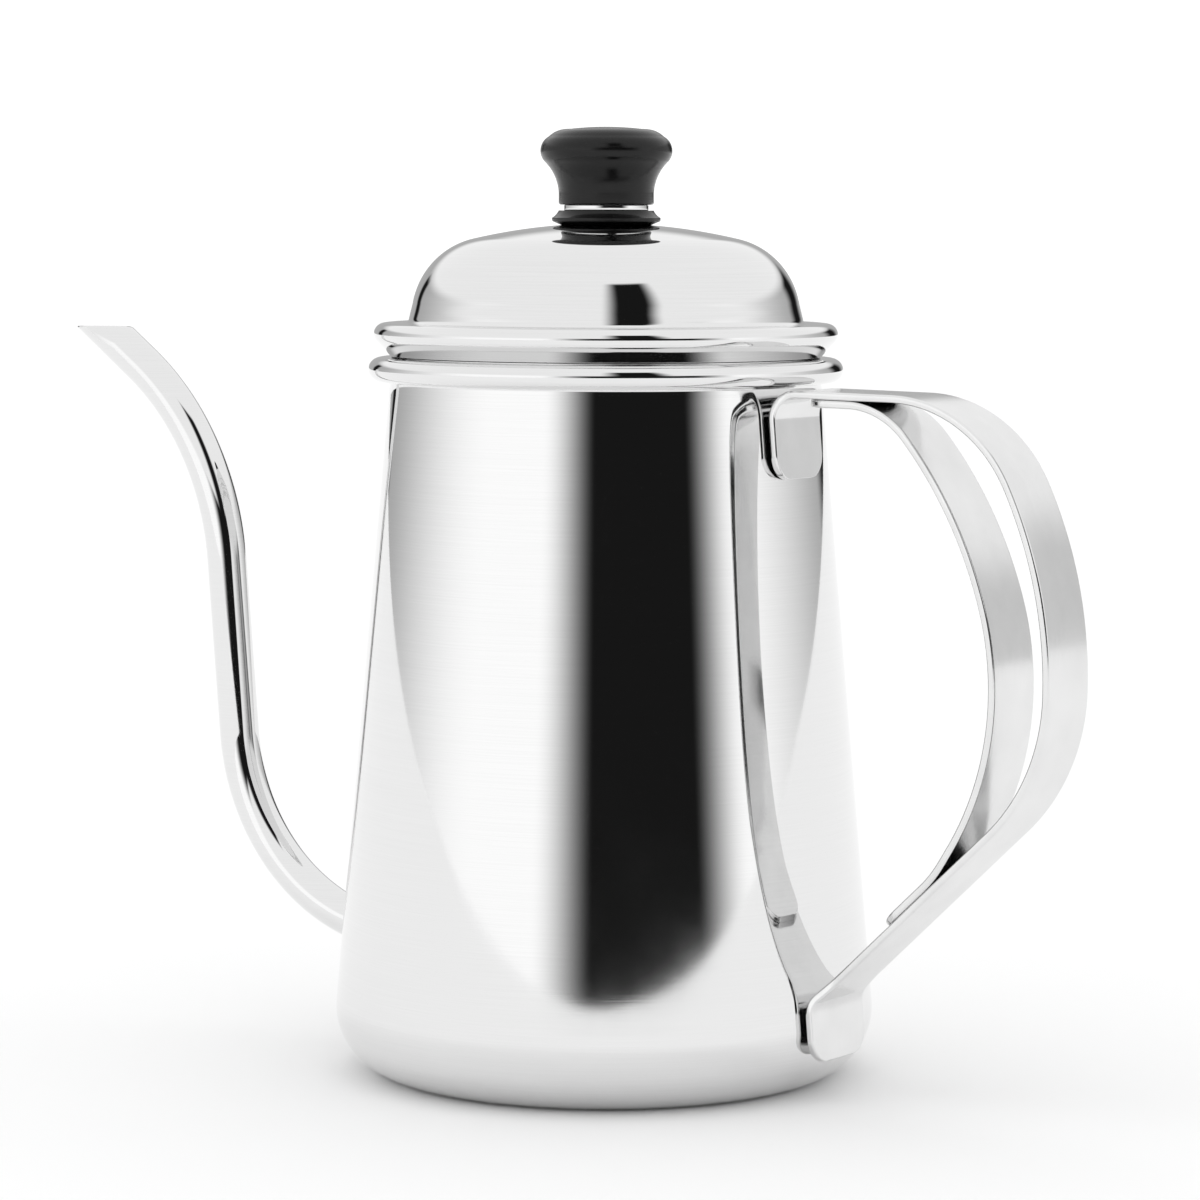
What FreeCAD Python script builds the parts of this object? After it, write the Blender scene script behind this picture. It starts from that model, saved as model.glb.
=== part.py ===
"""Gooseneck pour-over kettle: a tapered steel vessel with a hollow spout, a double strap handle
and a lift-off lid with a turned knob.

Origin on the vessel's axis at the plane it rests on. +Z is up, the handle is on +X and the spout
on -X, and the XZ plane is the plane of symmetry. Millimetres and degrees.
"""
import FreeCAD, Part
import math
import os

import Sketcher

doc = FreeCAD.newDocument("gooseneck_kettle")
V = FreeCAD.Vector

# ---------------------------------------------------------------------------- driving dimensions
DIMENSIONS = {
    # vessel
    "base_radius": 52.0,
    "corner_radius": 13.0,
    "shoulder_radius": 41.4,
    "shoulder_height": 133.6,
    "wall": 0.8,
    "bead_height": 4.5,
    "bead_centre_radius": 43.25,
    "mouth_radius": 41.2,
    "base_lip_radius": 39.0,
    "bead_inner_radius": 32.0,
    "bead_outer_radius": 36.0,
    "bead_rise": 0.8,
    # spout
    "spout_diameter": 8.0,
    "spout_wall": 0.7,
    "spout_root_height": 22.2,
    "spout_root_start": 46.0,
    "spout_root_run": 4.0,
    "spout_heel_radius": 40.8,
    "spout_heel_turn": 85.0,
    "spout_riser_run": 35.6,
    "spout_neck_radius": 54.8,
    "spout_neck_turn": 48.7,
    "spout_lip_run": 25.0,
    "spout_lip_height": 141.9,
    # handle straps
    "strap_width": 15.0,
    "strap_thickness": 1.5,
    "top_pad_width": 16.2,
    "top_pad_height": 116.4,
    "top_pad_run": 11.2,
    "top_bend_radius": 4.5,
    "arm_droop": 0.8,
    "arm_run": 20.6,
    "crook_radius": 27.6,
    "crook_turn": 62.3,
    "back_radius": 79.5,
    "back_turn": 27.9,
    "heel_radius": 36.7,
    "heel_turn": 46.0,
    "bottom_bend_radius": 4.0,
    "bottom_pad_width": 18.6,
    "bottom_pad_run": 9.2,
    "pad_corner_radius": 4.5,
    "grip_tip_reach": 49.0,
    "grip_crook_radius": 16.5,
    "grip_crook_turn": 48.0,
    "grip_back_radius": 79.8,
    "grip_back_turn": 24.9,
    "grip_heel_radius": 54.8,
    "grip_heel_turn": 48.5,
    "grip_heel_run": 3.2,
    "grip_tail_radius": 25.1,
    "grip_tail_run": 11.8,
    # lid
    "lid_sheet": 0.7,
    "lid_gap": 0.2,
    "rim_foot_radius": 41.2,
    "rim_centre_radius": 42.4,
    "rim_taper_angle": 50.0,
    "rim_top_height": 144.7,
    "rim_round_radius": 2.05,
    "dome_radius": 37.7,
    "dome_wall_radius": 37.0,
    "dome_wall_height": 148.5,
    "dome_foot_radius": 1.0,
    "dome_shoulder_radius": 15.3,
    "crown_edge_radius": 25.0,
    "crown_edge_height": 160.9,
    "crown_radius": 111.0,
    "screw_hole_radius": 2.2,
    "skirt_radius": 39.9,
    "skirt_sheet": 0.6,
    "skirt_foot_height": 130.0,
    "skirt_flange_radius": 41.8,
    # knob
    "flange_top_radius": 9.1,
    "flange_foot_radius": 8.6,
    "flange_radius": 10.4,
    "flange_edge_height": 164.2,
    "flange_edge": 0.6,
    "flange_top_height": 166.2,
    "flange_sweep_radius": 3.0,
    "collar_radius": 8.1,
    "collar_height": 1.1,
    "knob_foot_radius": 9.1,
    "knob_waist_rise": 2.2,
    "knob_flare_radius": 9.0,
    "knob_cheek_radius": 11.9,
    "knob_cheek_rise": 8.3,
    "knob_edge_radius": 3.1,
    "knob_brow_radius": 11.0,
    "knob_brow_rise": 13.0,
    "knob_brow_round": 5.0,
    "knob_crown_edge_radius": 7.2,
    "knob_crown_edge_rise": 14.4,
    "knob_crown_radius": 60.0,
    "insert_radius": 3.2,
    "insert_bore_radius": 1.95,
    "insert_length": 8.2,
    "screw_radius": 1.9,
    "screw_head_radius": 4.0,
    "screw_head_height": 2.2,
    "screw_head_edge": 1.3,
    "screw_head_crown_radius": 10.0,
    "screw_length": 12.0,
    "washer_radius": 4.5,
    "washer_thickness": 0.8,
}
TOLERANCE = 0.01

sheet = doc.addObject("Spreadsheet::Sheet", "Sizes")
for row, (alias, value) in enumerate(DIMENSIONS.items(), start=1):
    sheet.set(f"A{row}", alias)
    sheet.set(f"B{row}", str(value))
    sheet.setAlias(f"B{row}", alias)
doc.recompute()


class Size:
    """A length that carries both its value and the spreadsheet formula that gives it."""

    def __init__(self, value, formula):
        self.value = float(value)
        self.formula = formula

    def _join(self, other, sign, result):
        return Size(result, f"({self.formula} {sign} {as_size(other).formula})")

    def __add__(self, other):
        return self._join(other, "+", self.value + as_size(other).value)

    def __sub__(self, other):
        return self._join(other, "-", self.value - as_size(other).value)

    def __mul__(self, other):
        return self._join(other, "*", self.value * as_size(other).value)

    def __neg__(self):
        return self * -1


def as_size(number):
    return number if isinstance(number, Size) else Size(number, repr(float(number)))


def size(alias):
    return Size(sheet.get(alias), f"Sizes.{alias}")


# ------------------------------------------------------------------------------- sketch helpers
def new_sketch(body, name, plane="XZ_Plane"):
    sketch = body.newObject("Sketcher::SketchObject", name)
    origin_plane = next(f for f in body.Origin.OriginFeatures if f.Role == plane)
    sketch.AttachmentSupport = [(origin_plane, "")]
    sketch.MapMode = "FlatFace"
    return sketch


def bind(sketch, constraint, formula, name):
    """Add a driving constraint and tie its value to the spreadsheet."""
    index = sketch.addConstraint(constraint)
    sketch.renameConstraint(index, name)
    sketch.setExpression(f"Constraints.{name}", formula)


def place_point(sketch, geometry, vertex, x, y, name):
    """Fix a sketch point at (x, y); a zero coordinate puts it on the axis."""
    for axis, kind, coordinate in ((-2, "DistanceX", x), (-1, "DistanceY", y)):
        if coordinate.value == 0:
            sketch.addConstraint(Sketcher.Constraint("PointOnObject", geometry, vertex, axis))
        else:
            constraint = Sketcher.Constraint(kind, -1, 1, geometry, vertex, coordinate.value)
            bind(sketch, constraint, coordinate.formula, f"{name}_{kind[-1].lower()}")


def arc_between(start, end, radius):
    """Minor arc from start to end; a positive radius turns left, a negative one right."""
    chord = end - start
    rise = math.sqrt(max(radius ** 2 - (chord.Length / 2) ** 2, 0))
    inward = V(-chord.y, chord.x, 0).normalize() * math.copysign(1, radius)
    centre = (start + end) * 0.5 + inward * rise
    return Part.Arc(start, centre - inward * abs(radius), end)


def closed_outline(body, name, corners, plane="XZ_Plane"):
    """Closed sketch of corners (x, y) or (x, y, radius); radius bends the edge into that corner."""
    sketch = new_sketch(body, name, plane)
    corners = [tuple(as_size(number) for number in corner) for corner in corners]
    points = [V(corner[0].value, corner[1].value, 0) for corner in corners]
    ends = []
    for index, corner in enumerate(corners):
        start = points[index - 1]
        if len(corner) == 3:
            edge = sketch.addGeometry(arc_between(start, points[index], corner[2].value))
            forward = corner[2].value > 0
            ends.append((edge, 1 if forward else 2, 2 if forward else 1))
        else:
            edge = sketch.addGeometry(Part.LineSegment(start, points[index]))
            ends.append((edge, 1, 2))
    for index, corner in enumerate(corners):
        edge, _, last = ends[index]
        following, first, _ = ends[(index + 1) % len(ends)]
        sketch.addConstraint(Sketcher.Constraint("Coincident", edge, last, following, first))
        place_point(sketch, edge, last, corner[0], corner[1], f"corner{index}")
        if len(corner) == 3:
            radius = corner[2] if corner[2].value > 0 else -corner[2]
            bind(sketch, Sketcher.Constraint("Radius", edge, radius.value), radius.formula,
                 f"corner{index}_radius")
    return sketch


class Path:
    """Plane path of runs and turns, each starting where the last one ended and tangent to it."""

    def __init__(self, x, z, heading):
        self.start = V(x, z, 0)
        self.point = V(x, z, 0)
        self.start_heading = heading
        self.heading = heading
        self.steps = []

    def direction(self):
        return V(math.cos(math.radians(self.heading)), math.sin(math.radians(self.heading)), 0)

    def run(self, length):
        length = as_size(length)
        end = self.point + self.direction() * length.value
        self.steps.append(("run", Part.LineSegment(self.point, end), length, None))
        self.point = end
        return self

    def turn(self, radius, angle):
        """Arc to the left for a positive angle and to the right for a negative one."""
        radius, angle = as_size(radius), as_size(angle)
        side = math.copysign(1, angle.value)
        facing = self.direction()
        centre = self.point + V(-facing.y, facing.x, 0) * side * radius.value
        half = FreeCAD.Rotation(V(0, 0, 1), angle.value / 2)
        arm = self.point - centre
        middle, end = centre + half.multVec(arm), centre + half.multVec(half.multVec(arm))
        self.steps.append(("turn", Part.Arc(self.point, middle, end), radius, angle))
        self.point = end
        self.heading += angle.value
        return self

    def sketch(self, body, name):
        """Draw the path in the body's XZ plane, held by its lengths, radii and turns."""
        sketch = new_sketch(body, name)
        previous = None
        for index, (kind, geometry, length, angle) in enumerate(self.steps):
            edge = sketch.addGeometry(geometry)
            right = kind == "turn" and angle.value < 0
            first, last = (2, 1) if right else (1, 2)
            if previous:
                sketch.addConstraint(Sketcher.Constraint("Tangent", *previous, edge, first))
            elif kind == "run":
                place_point(sketch, edge, 1, as_size(self.start.x), as_size(self.start.y), "start")
                tilt = math.radians(self.start_heading)
                sketch.addConstraint(Sketcher.Constraint("Angle", -1, 1, edge, 1, tilt))
            if kind == "run":
                distance = Sketcher.Constraint("Distance", edge, length.value)
                bind(sketch, distance, length.formula, f"step{index}_length")
            else:
                bend = Sketcher.Constraint("Radius", edge, length.value)
                bind(sketch, bend, length.formula, f"step{index}_radius")
                sweep = Sketcher.Constraint("Angle", edge, math.radians(abs(angle.value)))
                turn = -angle if right else angle
                bind(sketch, sweep, f"{turn.formula} * 1 deg", f"step{index}_turn")
            previous = (edge, last)
        return sketch


# ------------------------------------------------------------------------------ feature helpers
def new_body(name):
    body = doc.addObject("PartDesign::Body", name)
    body.Label = name
    body.Placement = FreeCAD.Placement()
    return body


def turned(body, sketch, kind="PartDesign::Revolution"):
    """Revolve a sketch once round the body's Z axis, adding or cutting."""
    feature = body.newObject(kind, f"{sketch.Name}_{kind.split('::')[1].lower()}")
    feature.Profile = sketch
    feature.ReferenceAxis = (sketch, ["V_Axis"])
    feature.Angle = 360
    return feature


def turned_piece(name, corners):
    body = new_body(name)
    turned(body, closed_outline(body, f"{name}_outline", corners))
    return body


def cross_section(body, name, path):
    """Empty sketch square to the start of a path."""
    sketch = new_sketch(body, name, "XY_Plane")
    lean = FreeCAD.Rotation(V(0, 1, 0), 90 - path.start_heading)
    sketch.AttachmentOffset = FreeCAD.Placement(V(path.start.x, 0, path.start.y), lean)
    return sketch


def rectangle(sketch, length, width):
    """Rectangle centred on the sketch origin, length along x and width along y."""
    x, y = length.value / 2, width.value / 2
    points = [V(-x, -y, 0), V(x, -y, 0), V(x, y, 0), V(-x, y, 0)]
    for index, point in enumerate(points):
        sketch.addGeometry(Part.LineSegment(point, points[(index + 1) % 4]))
    for index in range(4):
        sketch.addConstraint(Sketcher.Constraint("Coincident", index, 2, (index + 1) % 4, 1))
        kind = "Horizontal" if index % 2 == 0 else "Vertical"
        sketch.addConstraint(Sketcher.Constraint(kind, index))
    sketch.addConstraint(Sketcher.Constraint("Symmetric", 0, 1, 1, 2, -1, 1))
    bind(sketch, Sketcher.Constraint("Distance", 0, length.value), length.formula, "length")
    bind(sketch, Sketcher.Constraint("Distance", 1, width.value), width.formula, "width")


def swept(body, profile, spine):
    pipe = body.newObject("PartDesign::AdditivePipe", f"{spine.Name}_pipe")
    pipe.Profile = profile
    pipe.Spine = spine
    return pipe


def circle(sketch, radius, name, x=0.0, y=0.0):
    x, y = as_size(x), as_size(y)
    edge = sketch.addGeometry(Part.Circle(V(x.value, y.value, 0), V(0, 0, 1), radius.value))
    place_point(sketch, edge, 3, x, y, name)
    bind(sketch, Sketcher.Constraint("Radius", edge, radius.value), radius.formula, name)


def cut(body, sketch, length, midplane=False):
    """Pocket that must take material away."""
    doc.recompute()
    before = body.Shape.Volume
    pocket = body.newObject("PartDesign::Pocket", f"{sketch.Name}_pocket")
    pocket.Profile = sketch
    pocket.Length = length
    pocket.Midplane = midplane
    doc.recompute()
    if not body.Shape.Volume < before:
        raise RuntimeError(f"{pocket.Name} cuts nothing")
    return pocket


def round_edges(body, name, alias, wanted):
    """Fillet the edges of the body's tip that the test picks."""
    doc.recompute()
    tip = body.Tip
    picked = [f"Edge{i}" for i, edge in enumerate(tip.Shape.Edges, start=1) if wanted(edge)]
    fillet = body.newObject("PartDesign::Fillet", name)
    fillet.Base = (tip, picked)
    fillet.setExpression("Radius", f"Sizes.{alias}")
    return fillet


# --------------------------------------------------------------------------------------- vessel
def wall_slope():
    """Inward travel of the wall for each millimetre of height."""
    taper = sheet.base_radius - sheet.shoulder_radius
    return taper / (sheet.shoulder_height - sheet.corner_radius)


def wall_radius(height):
    return sheet.base_radius - (height - sheet.corner_radius) * wall_slope()


def wall_lean():
    return math.degrees(math.atan(wall_slope()))


def make_body_shell():
    """Drawn wall with a rounded foot, a straight taper and a rolled bead round the mouth."""
    wall = size("wall")
    foot, corner = size("base_lip_radius"), size("corner_radius")
    bead_low, bead_height = size("shoulder_height"), size("bead_height")
    bead_radius, bead_round = size("bead_centre_radius"), bead_height * 0.5
    bead_middle = bead_low + bead_round
    body = turned_piece("body_shell", [
        (foot, 0),
        (size("base_radius"), corner, corner),
        (size("shoulder_radius"), bead_low),
        (bead_radius, bead_low),
        (bead_radius + bead_round, bead_middle, bead_round),
        (bead_radius, bead_low + bead_height, bead_round),
        (size("mouth_radius"), bead_low + bead_height),
        (size("mouth_radius"), bead_low + bead_height - wall),
        (bead_radius, bead_low + bead_height - wall),
        (bead_radius + bead_round - wall, bead_middle, -(bead_round - wall)),
        (bead_radius, bead_low + wall, -(bead_round - wall)),
        (size("shoulder_radius") - wall, bead_low + wall),
        (size("base_radius") - wall, corner),
        (foot, wall, -(corner - wall)),
    ])
    port = new_sketch(body, "spout_port", "YZ_Plane")
    bore = size("spout_diameter") * 0.5 - size("spout_wall")
    circle(port, bore, "bore", 0.0, size("spout_root_height"))
    cut(body, port, 2 * sheet.base_radius)
    return body


def make_base_pan():
    """Pressed bottom disc, butt-welded into the foot of the wall, stiffened by a shallow ring."""
    wall, rise = size("wall"), size("bead_rise")
    foot = size("base_lip_radius")
    inner, outer = size("bead_inner_radius"), size("bead_outer_radius")
    mitre = wall * math.tan(math.radians(45 / 2))
    return turned_piece("base_pan", [
        (0, 0),
        (inner, 0),
        (inner + rise, rise),
        (outer - rise, rise),
        (outer, 0),
        (foot, 0),
        (foot, wall),
        (outer + mitre, wall),
        (outer - rise + mitre, rise + wall),
        (inner + rise - mitre, rise + wall),
        (inner - mitre, wall),
        (0, wall),
    ])


# ---------------------------------------------------------------------------------------- spout
def make_spout_tube():
    """Hollow gooseneck tube, saddled on the wall and cut level at the lip."""
    body = new_body("spout_tube")
    path = Path(-sheet.spout_root_start, sheet.spout_root_height, 180)
    path.run(size("spout_root_run"))
    path.turn(size("spout_heel_radius"), -size("spout_heel_turn"))
    path.run(size("spout_riser_run"))
    path.turn(size("spout_neck_radius"), size("spout_neck_turn"))
    path.run(size("spout_lip_run"))
    profile = cross_section(body, "spout_section", path)
    outside = size("spout_diameter") * 0.5
    circle(profile, outside, "outside")
    circle(profile, outside - size("spout_wall"), "inside")
    swept(body, profile, path.sketch(body, "spout_path"))

    saddle_top = 2 * sheet.spout_root_height
    saddle = closed_outline(body, "spout_saddle", [
        (0, sheet.corner_radius),
        (size("base_radius"), sheet.corner_radius),
        (wall_radius(saddle_top), saddle_top),
        (0, saddle_top),
    ])
    turned(body, saddle, "PartDesign::Groove")

    lip = size("spout_lip_height")
    far = path.point.x - sheet.spout_diameter
    level_cut = closed_outline(body, "spout_lip_cut", [
        (far, lip),
        (-sheet.base_radius, lip),
        (-sheet.base_radius, path.point.y + sheet.spout_diameter),
        (far, path.point.y + sheet.spout_diameter),
    ])
    cut(body, level_cut, 4 * sheet.spout_diameter, midplane=True)
    return body


# --------------------------------------------------------------------------------------- handle
def pad_start():
    """Middle of the strap's thickness at the foot of the top pad, lying on the wall."""
    lean = math.radians(wall_lean())
    reach = wall_radius(sheet.top_pad_height) + sheet.strap_thickness / 2 / math.cos(lean)
    return reach, sheet.top_pad_height


def outer_path():
    """Line of the outer strap: up the wall, out, down round the back and in to the wall again."""
    path = Path(*pad_start(), 90 + wall_lean())
    path.run(size("top_pad_run"))
    path.turn(size("top_bend_radius"), -(90 + wall_lean() + sheet.arm_droop))
    path.run(size("arm_run"))
    path.turn(size("crook_radius"), -size("crook_turn"))
    path.turn(size("back_radius"), -size("back_turn"))
    path.turn(size("heel_radius"), -size("heel_turn"))
    closing_turn = -90 + wall_lean() - path.heading
    down_wall = V(math.sin(math.radians(wall_lean())), -math.cos(math.radians(wall_lean())), 0)
    outward = V(-down_wall.y, down_wall.x, 0)
    start_x, start_z = pad_start()
    gap = (path.point - V(start_x, start_z, 0)).dot(outward)
    tangent = sheet.bottom_bend_radius * math.tan(math.radians(closing_turn / 2))
    path.run(gap / math.sin(math.radians(closing_turn)) - tangent)
    path.turn(size("bottom_bend_radius"), closing_turn)
    path.run(size("bottom_pad_run"))
    return path


def weld_pad(body, name, path_step, width):
    """Widened end of the strap, flat on the wall: the strap's thickness along one path run."""
    line = path_step[1]
    along = (line.EndPoint - line.StartPoint).normalize()
    half = V(-along.y, along.x, 0) * (sheet.strap_thickness / 2)
    corners = [line.StartPoint + half, line.EndPoint + half,
               line.EndPoint - half, line.StartPoint - half]
    outline = closed_outline(body, name, [(corner.x, corner.y) for corner in corners])
    pad = body.newObject("PartDesign::Pad", f"{name}_pad")
    pad.Profile = outline
    pad.Midplane = True
    pad.setExpression("Length", f"Sizes.{width}")
    return pad


def free_corners(*ends):
    """Test for the edges through a strap's thickness at ends given as (middle of the end, width)."""
    def picks(edge):
        middle = edge.CenterOfMass
        if abs(edge.Length - sheet.strap_thickness) > TOLERANCE:
            return False
        return any(math.hypot(middle.x - point.x, middle.z - point.y) < TOLERANCE
                   and abs(abs(middle.y) - width / 2) < TOLERANCE for point, width in ends)

    return picks


def make_outer_strap():
    body = new_body("handle_outer_strap")
    path = outer_path()
    profile = cross_section(body, "outer_section", path)
    rectangle(profile, size("strap_thickness"), size("strap_width"))
    swept(body, profile, path.sketch(body, "outer_line"))
    weld_pad(body, "top_pad", path.steps[0], "top_pad_width")
    weld_pad(body, "bottom_pad", path.steps[-1], "bottom_pad_width")
    pads = free_corners((path.start, sheet.top_pad_width), (path.point, sheet.bottom_pad_width))
    round_edges(body, "pad_corners", "pad_corner_radius", pads)
    return body


def inner_path():
    """Line of the inner strap, lying against the outer one at both ends."""
    outer = outer_path()
    arm, straight = outer.steps[2][1], outer.steps[6][1]
    arm_way = (arm.EndPoint - arm.StartPoint).normalize()
    below = V(arm_way.y, -arm_way.x, 0) * sheet.strap_thickness
    way_in = (straight.EndPoint - straight.StartPoint).normalize()
    inside = V(way_in.y, -way_in.x, 0)
    seat = straight.StartPoint + inside * sheet.strap_thickness
    tail_turn = (sheet.crook_turn + sheet.back_turn + sheet.heel_turn - sheet.grip_crook_turn
                 - sheet.grip_back_turn - sheet.grip_heel_turn)

    def trace(first_run):
        tip = arm.StartPoint + below + arm_way * (sheet.grip_tip_reach - arm.StartPoint.x)
        path = Path(tip.x, tip.y, -sheet.arm_droop)
        path.run(first_run)
        path.turn(size("grip_crook_radius"), -size("grip_crook_turn"))
        path.turn(size("grip_back_radius"), -size("grip_back_turn"))
        path.turn(size("grip_heel_radius"), -size("grip_heel_turn"))
        path.run(size("grip_heel_run"))
        path.turn(size("grip_tail_radius"), -tail_turn)
        return path

    trial_run = 1.0
    miss = (seat - trace(trial_run).point).dot(inside)
    path = trace(trial_run + miss / arm_way.dot(inside))
    path.run(size("grip_tail_run"))
    return path


def make_inner_strap():
    body = new_body("handle_inner_strap")
    path = inner_path()
    profile = cross_section(body, "inner_section", path)
    rectangle(profile, size("strap_thickness"), size("strap_width"))
    swept(body, profile, path.sketch(body, "inner_line"))
    ends = free_corners((path.start, sheet.strap_width), (path.point, sheet.strap_width))
    round_edges(body, "strap_corners", "pad_corner_radius", ends)
    return body


# ------------------------------------------------------------------------------------------ lid
def crown_height(radius):
    """Height of the lid's crown at a radius, from its edge and its radius of curvature."""
    crown = sheet.crown_radius
    centre = sheet.crown_edge_height - math.sqrt(crown ** 2 - sheet.crown_edge_radius ** 2)
    return centre + math.sqrt(crown ** 2 - radius ** 2)


def make_lid_shell():
    """Domed lid pressed from one sheet, with a groove round the dome and a rolled rim."""
    t = size("lid_sheet")
    seat = size("shoulder_height") + size("bead_height") + size("lid_gap")
    hole = size("screw_hole_radius")
    rim_top, rim_round = size("rim_top_height"), size("rim_round_radius")
    rim_centre, rim_middle = size("rim_centre_radius"), rim_top - rim_round
    taper = math.radians(sheet.rim_taper_angle)
    out, down = math.cos(taper), math.sin(taper)
    dome, dome_wall, groove = size("dome_radius"), size("dome_wall_radius"), size("dome_foot_radius")
    shoulder, crown = size("dome_shoulder_radius"), size("crown_radius")
    edge, edge_height = size("crown_edge_radius"), size("crown_edge_height")
    return turned_piece("lid_shell", [
        (hole, crown_height(sheet.screw_hole_radius) - sheet.lid_sheet),
        (edge, edge_height - t, -(crown - t)),
        (dome_wall - t, size("dome_wall_height"), -(shoulder - t)),
        (dome - t, rim_top + groove),
        (dome + groove, rim_top - t, groove + t),
        (rim_centre, rim_top - t),
        (rim_centre + (rim_round - t) * out, rim_middle - (rim_round - t) * down, -(rim_round - t)),
        (size("rim_foot_radius") - t, seat + t * 0.5),
        (size("rim_foot_radius"), seat),
        (rim_centre + rim_round * out, rim_middle - rim_round * down),
        (rim_centre, rim_top, rim_round),
        (dome + groove, rim_top),
        (dome, rim_top + groove, -groove),
        (dome_wall, size("dome_wall_height")),
        (edge, edge_height, shoulder),
        (hole, crown_height(sheet.screw_hole_radius), crown),
    ])


def make_lid_skirt():
    """Locating ring welded under the rim; it drops into the mouth and keeps the lid centred."""
    t = size("skirt_sheet")
    top = size("rim_top_height") - size("lid_sheet")
    outside, foot = size("skirt_radius"), size("skirt_foot_height")
    return turned_piece("lid_skirt", [
        (outside - t, foot),
        (outside, foot),
        (outside, top - t),
        (size("skirt_flange_radius"), top - t),
        (size("skirt_flange_radius"), top),
        (outside - t, top),
    ])


# ----------------------------------------------------------------------------------------- knob
def make_knob_base():
    """Heat-resistant foot of the knob, hollowed underneath to sit on the crown."""
    hole, rim = size("screw_hole_radius"), size("flange_radius")
    edge_height = size("flange_edge_height")
    return turned_piece("knob_base", [
        (hole, crown_height(sheet.screw_hole_radius)),
        (size("flange_foot_radius"), crown_height(sheet.flange_foot_radius), -size("crown_radius")),
        (rim, edge_height),
        (rim, edge_height + size("flange_edge")),
        (size("flange_top_radius"), size("flange_top_height"), -size("flange_sweep_radius")),
        (hole, size("flange_top_height")),
    ])


def make_knob_collar():
    """Steel ring between the foot and the grip of the knob."""
    low, hole = size("flange_top_height"), size("screw_hole_radius")
    return turned_piece("knob_collar", [
        (hole, low),
        (size("collar_radius"), low),
        (size("collar_radius"), low + size("collar_height")),
        (hole, low + size("collar_height")),
    ])


def make_knob():
    """Moulded grip: a waist that flares to a rounded head, with a blind socket for the insert."""
    low = size("flange_top_height") + size("collar_height")
    socket, depth = size("insert_radius"), size("insert_length")
    foot = size("knob_foot_radius")
    crown_top = (sheet.knob_crown_edge_rise + sheet.knob_crown_radius
                 - math.sqrt(sheet.knob_crown_radius ** 2 - sheet.knob_crown_edge_radius ** 2))
    return turned_piece("knob", [
        (0, low + depth),
        (socket, low + depth),
        (socket, low),
        (foot, low),
        (foot, low + size("knob_waist_rise")),
        (size("knob_cheek_radius"), low + size("knob_cheek_rise"), -size("knob_flare_radius")),
        (size("knob_brow_radius"), low + size("knob_brow_rise"), size("knob_edge_radius")),
        (size("knob_crown_edge_radius"), low + size("knob_crown_edge_rise"), size("knob_brow_round")),
        (0, low + crown_top, size("knob_crown_radius")),
    ])


def make_knob_insert():
    """Threaded brass sleeve moulded into the knob, its bore drawn at the thread's minor radius."""
    low = size("flange_top_height") + size("collar_height")
    bore = size("insert_bore_radius")
    return turned_piece("knob_insert", [
        (bore, low),
        (size("insert_radius"), low),
        (size("insert_radius"), low + size("insert_length")),
        (bore, low + size("insert_length")),
    ])


def washer_top():
    return crown_height(sheet.washer_radius) - sheet.lid_sheet


def make_knob_washer():
    """Flat washer under the crown."""
    low = size("washer_thickness") * -1 + washer_top()
    return turned_piece("knob_washer", [
        (size("screw_hole_radius"), low),
        (size("washer_radius"), low),
        (size("washer_radius"), washer_top()),
        (size("screw_hole_radius"), washer_top()),
    ])


def make_knob_screw():
    """Pan-head screw that clamps the knob to the lid from below."""
    seat = size("washer_thickness") * -1 + washer_top()
    head, shank = size("screw_head_radius"), size("screw_radius")
    return turned_piece("knob_screw", [
        (0, seat - size("screw_head_height")),
        (head, seat - size("screw_head_edge"), size("screw_head_crown_radius")),
        (head, seat),
        (shank, seat),
        (shank, seat + size("screw_length")),
        (0, seat + size("screw_length")),
    ])


# --------------------------------------------------------------------------------------- export
pieces = [
    make_body_shell(), make_base_pan(), make_spout_tube(),
    make_outer_strap(), make_inner_strap(),
    make_lid_shell(), make_lid_skirt(),
    make_knob_base(), make_knob_collar(), make_knob(),
    make_knob_insert(), make_knob_washer(), make_knob_screw(),
]
doc.recompute()

failed = [item.Name for item in doc.Objects if {"Invalid", "Error"} & set(item.State)]
if failed:
    raise RuntimeError(f"features failed: {failed}")

os.makedirs("parts", exist_ok=True)
for piece in pieces:
    if piece.Shape.isNull() or not piece.Shape.isValid():
        raise RuntimeError(f"{piece.Label} has no valid shape")
    piece.Shape.exportStep(f"parts/{piece.Label}.step")
    print(f"{piece.Label}: {len(piece.Shape.Solids)} solid, {piece.Shape.Volume:.0f} mm3")
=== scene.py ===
"""Gooseneck kettle in polished stainless steel with a black knob, in a white studio.

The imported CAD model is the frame. Its visible sheet-metal and knob nodes are replaced by finer meshes of
the same sizes: lathed shells and grip, a bent tube and two rounded straps. Lengths are in metres.
"""
import math

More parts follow.
